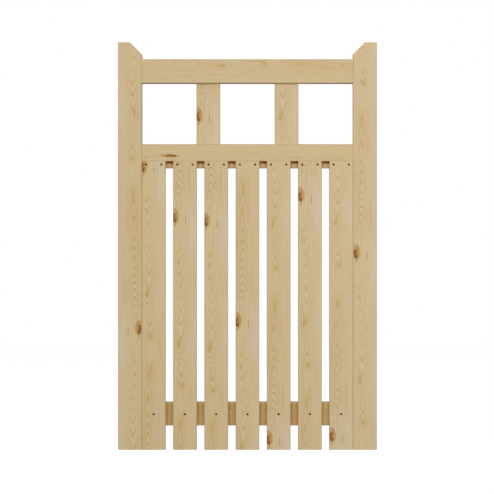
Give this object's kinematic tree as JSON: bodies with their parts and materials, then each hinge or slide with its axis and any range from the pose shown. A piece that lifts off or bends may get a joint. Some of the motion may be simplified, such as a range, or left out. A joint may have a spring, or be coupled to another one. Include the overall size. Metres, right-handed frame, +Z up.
{
  "type": "wooden garden gate",
  "caption": "Open-paled timber garden gate leaf with square windows over nailed vertical pales, framed by stiles with angled heads.",
  "frame": {"origin": "on the flat outer edge of the hanging stile, at mid height and mid thickness of the leaf", "axes": "+X across the leaf from the hanging stile to the closing stile, -Y the front face with the pales, +Z up"},
  "size_m": [0.762, 0.045, 1.2],
  "materials": {
    "frame_timber": "planed pressure-treated pine, pale honey with a faint green cast, knots and end grain, matt",
    "pale_timber": "planed pressure-treated pine, pale honey with a faint green cast and arched grain, matt",
    "nail_steel": "dull galvanised steel, darkened"
  },
  "bodies": {
    "root": {"hanging_stile": "frame_timber", "closing_stile": "frame_timber", "top_rail": "frame_timber", "middle_rail": "frame_timber", "bottom_rail": "frame_timber", "upright_1": "frame_timber", "upright_2": "frame_timber", "pale_1": "pale_timber", "nails_of_pale_1": "nail_steel", "pale_2": "pale_timber", "nails_of_pale_2": "nail_steel", "pale_3": "pale_timber", "nails_of_pale_3": "nail_steel", "pale_4": "pale_timber", "nails_of_pale_4": "nail_steel", "pale_5": "pale_timber", "nails_of_pale_5": "nail_steel", "pale_6": "pale_timber", "nails_of_pale_6": "nail_steel", "pale_7": "pale_timber", "nails_of_pale_7": "nail_steel"}
  },
  "joints": []
}
